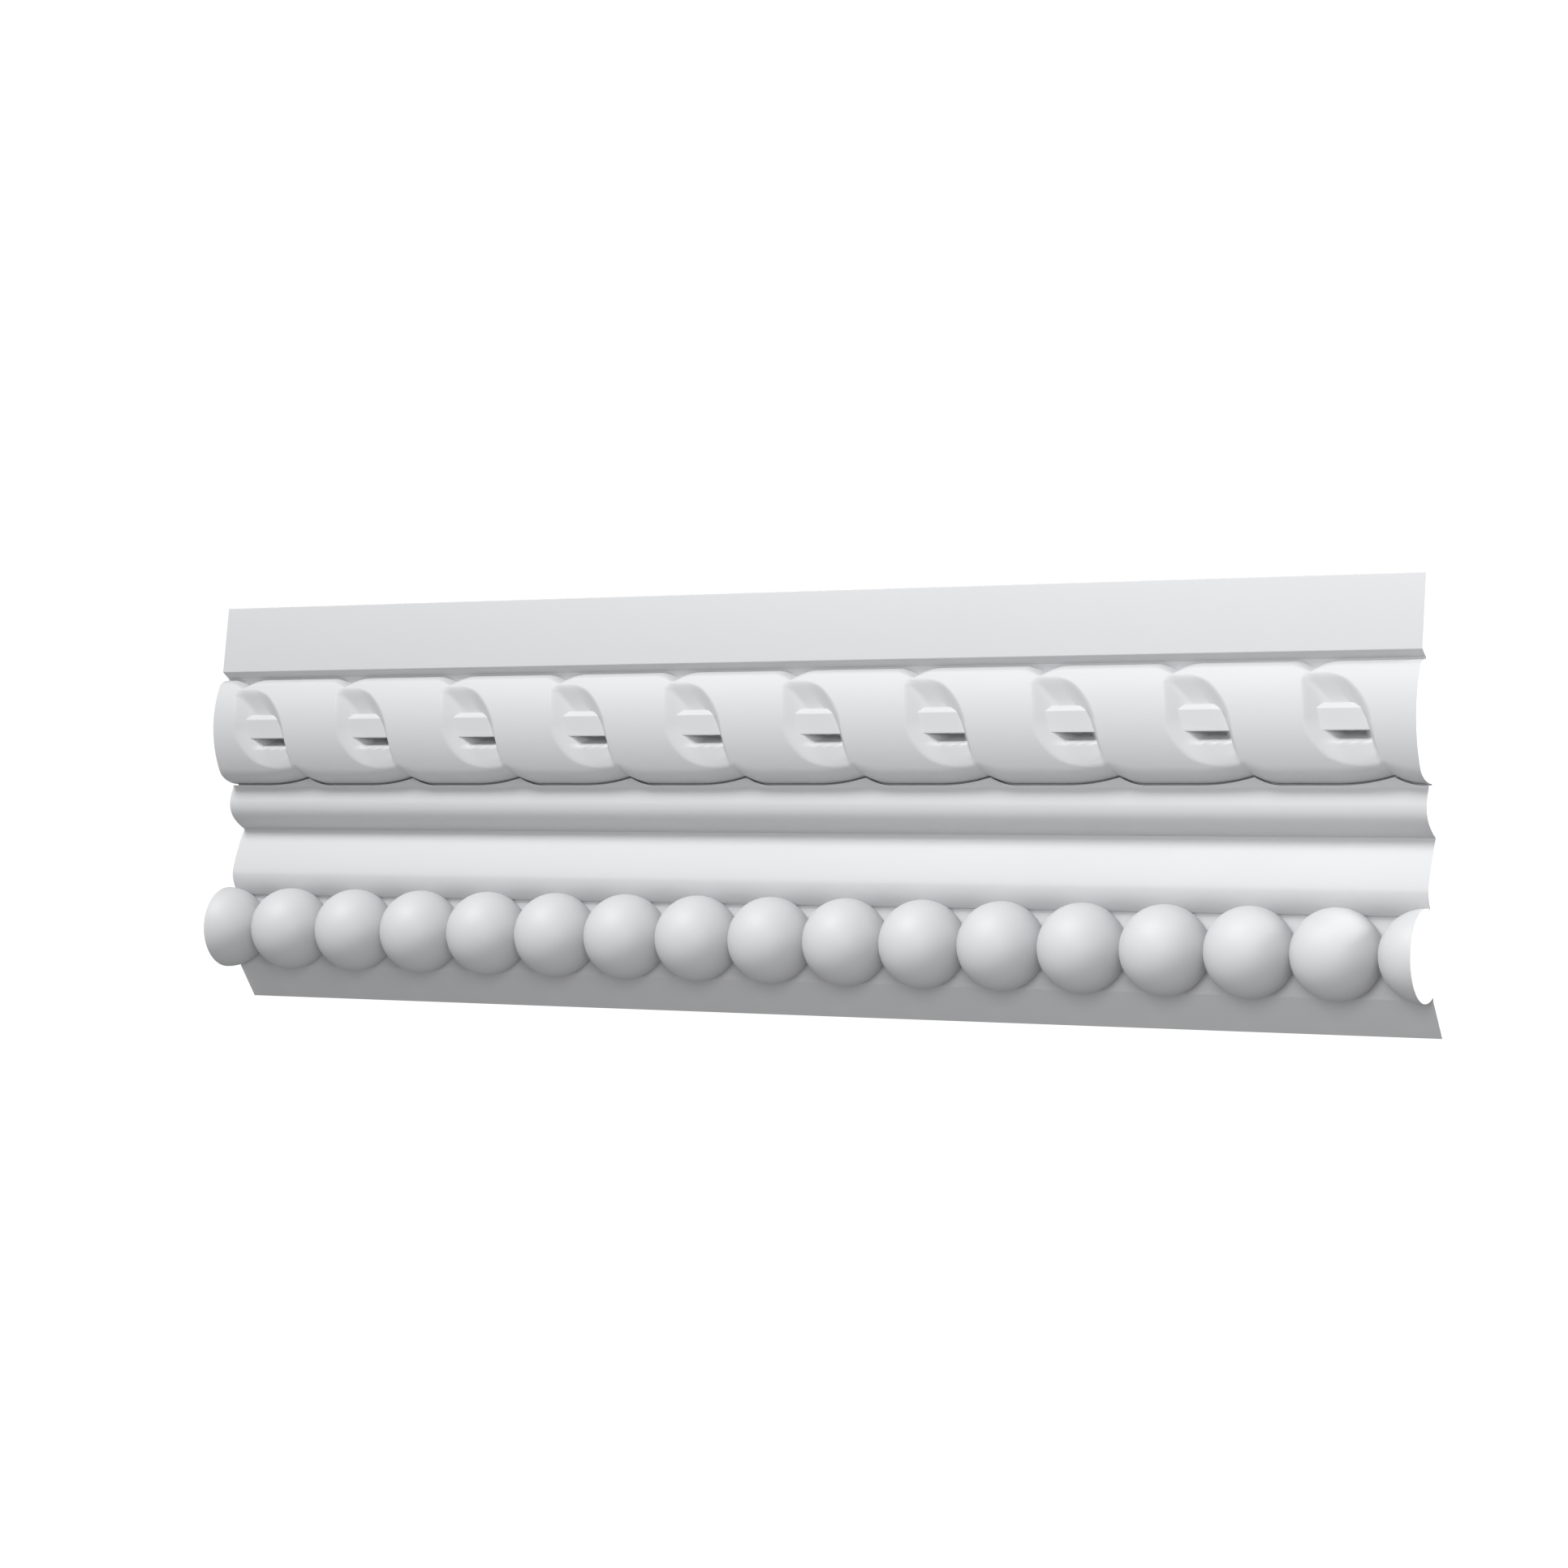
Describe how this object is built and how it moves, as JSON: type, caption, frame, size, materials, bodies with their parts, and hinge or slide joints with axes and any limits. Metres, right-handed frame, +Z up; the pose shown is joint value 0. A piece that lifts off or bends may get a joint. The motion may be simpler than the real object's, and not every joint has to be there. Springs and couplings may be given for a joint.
{
  "type": "frieze moulding",
  "caption": "Straight cast plaster frieze moulding: a ribbon wound on a stick above round members and a row of beads, with a flat back for the wall and ends cut square.",
  "frame": {"origin": "middle of the flat back, on the wall plane", "axes": "+X along the moulding to its right-hand end seen from the front, +Y into the wall, +Z up; the carved front looks towards -Y"},
  "size_m": [0.384, 0.0405, 0.12],
  "materials": {
    "plaster": "matte"
  },
  "bodies": {
    "root": {"frieze_moulding": "plaster"}
  },
  "joints": []
}
